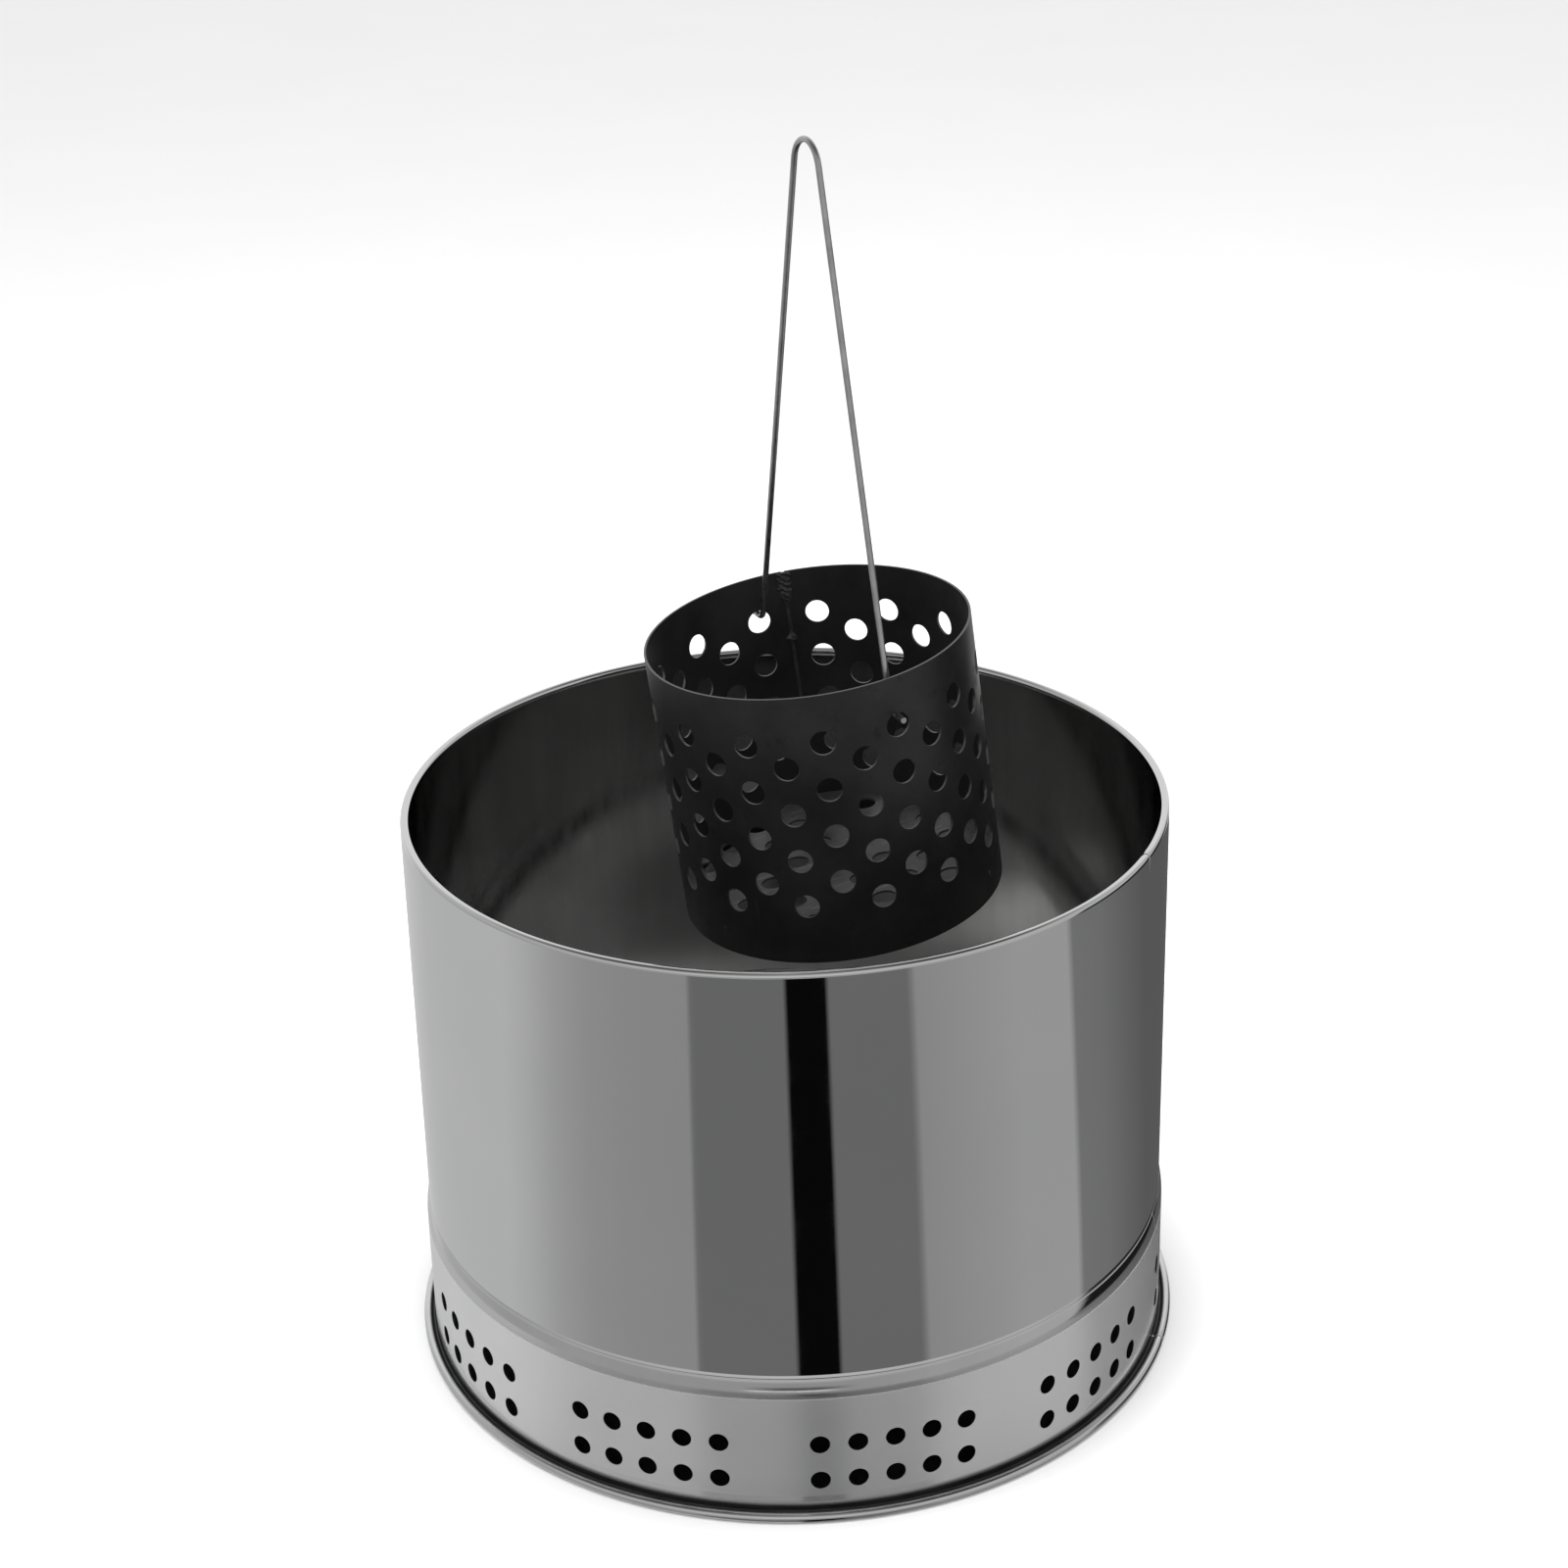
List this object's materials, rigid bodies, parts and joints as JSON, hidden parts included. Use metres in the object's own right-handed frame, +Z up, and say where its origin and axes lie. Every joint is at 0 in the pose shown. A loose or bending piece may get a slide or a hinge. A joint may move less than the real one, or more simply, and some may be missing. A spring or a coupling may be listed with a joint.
{
  "type": "chimney charcoal starter",
  "caption": "Round stainless charcoal drum on a vented base ring, with a perforated steel starter basket hung from a wire bail inside it.",
  "frame": {"origin": "centre of the drum's footprint, on the ground", "axes": "+Z up; +Y along the line through the bail's two hook ends, from the near hook to the far one"},
  "size_m": [0.523, 0.5228, 0.8133],
  "materials": {
    "mirror_steel": "mirror-polished stainless sheet",
    "brushed_steel": "fine brushed stainless sheet, grain round the ring",
    "inner_plate": "dull mill-finish stainless, smoke-stained",
    "wire_steel": "drawn bright wire",
    "satin_steel": "satin stainless sheet, lightly smoke-stained",
    "basket_steel": "blackened steel with a low sheen and bright cut edges",
    "raw_steel": "raw hot-rolled steel, scratched and mottled",
    "weld": "raw weld metal with heat tint"
  },
  "bodies": {
    "base": {"base_ring": "brushed_steel", "base_seam_weld": "brushed_steel", "foot_wire": "wire_steel", "base_plate": "inner_plate", "plate_ledge": "inner_plate"},
    "drum": {"drum_shell": "mirror_steel", "drum_seam_weld": "mirror_steel", "rim_wire": "wire_steel"},
    "plate": {"fire_plate": "satin_steel"},
    "bail": {"bail_wire": "wire_steel"},
    "basket": {"basket_shell": "basket_steel", "basket_floor": "raw_steel", "basket_floor_tacks": "weld", "basket_seam_weld": "weld"}
  },
  "joints": [
    {"name": "drum_lift", "type": "slide", "parent": "base", "child": "drum", "axis": [0, 0, 1], "range_m": [0, 0.25]},
    {"name": "plate_lift", "type": "slide", "parent": "base", "child": "plate", "axis": [0, 0, 1], "range_m": [0, 0.37]},
    {"name": "basket_lift", "type": "slide", "parent": "plate", "child": "bail", "axis": [0, 0, 1], "range_m": [-0.2, 0.2]},
    {"name": "basket_swing", "type": "hinge", "parent": "bail", "child": "basket", "pos_m": [0.02695, -0.00779, 0.47275], "axis": [-0.0048, -0.9996, 0.0283], "range_deg": [-45, 45]}
  ]
}
